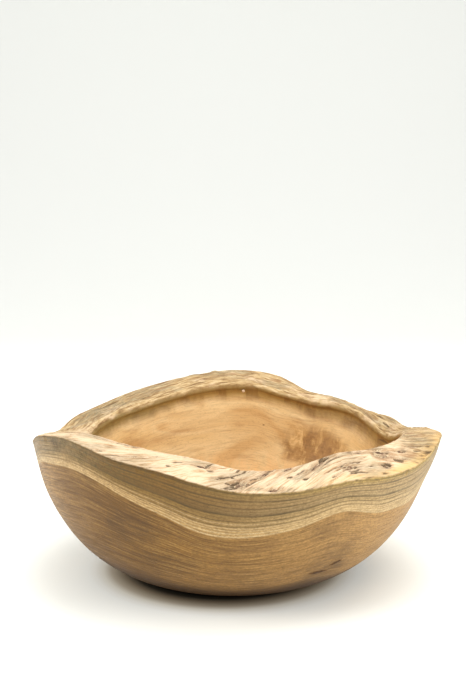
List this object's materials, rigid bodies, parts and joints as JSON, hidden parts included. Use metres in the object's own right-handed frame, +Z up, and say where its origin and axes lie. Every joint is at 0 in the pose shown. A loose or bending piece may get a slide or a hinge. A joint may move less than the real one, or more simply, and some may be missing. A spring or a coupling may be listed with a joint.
{
  "type": "carved wooden bowl",
  "caption": "Free-standing bowl carved from one block of root wood, with a turned outer wall, a round hollow and a wide natural edge that rises and falls round the rim.",
  "frame": {"origin": "centre of the flat base, on the surface the bowl rests on", "axes": "+Z up out of the mouth along the wall's turning axis; +X towards the pointed, grooved end of the rim; -Y towards the low, wide front of the rim"},
  "size_m": [0.2907, 0.2948, 0.1202],
  "materials": {
    "bowl_wood": "satin oiled heartwood and pale sapwood, bare on the natural edge",
    "bark": "matt, rough, reddish brown to grey",
    "filler": "matt wood filler",
    "dead_knot": "matt, dark"
  },
  "bodies": {
    "root": {"bowl_body": "bowl_wood", "bark_front_edge": "bark", "bark_front_seam": "bark", "bark_front_lip": "bark", "bark_edge_strip": "bark", "bark_long_seam": "bark", "bark_spot": "bark", "bark_lip_strip": "bark", "bark_right_patch": "bark", "bark_right_fleck": "bark", "bark_right_seam": "bark", "bark_right_groove": "bark", "bark_left_seam": "bark", "bark_left_streak": "bark", "hole_filler": "filler", "knot_low": "dead_knot", "knot_high": "dead_knot"}
  },
  "joints": []
}
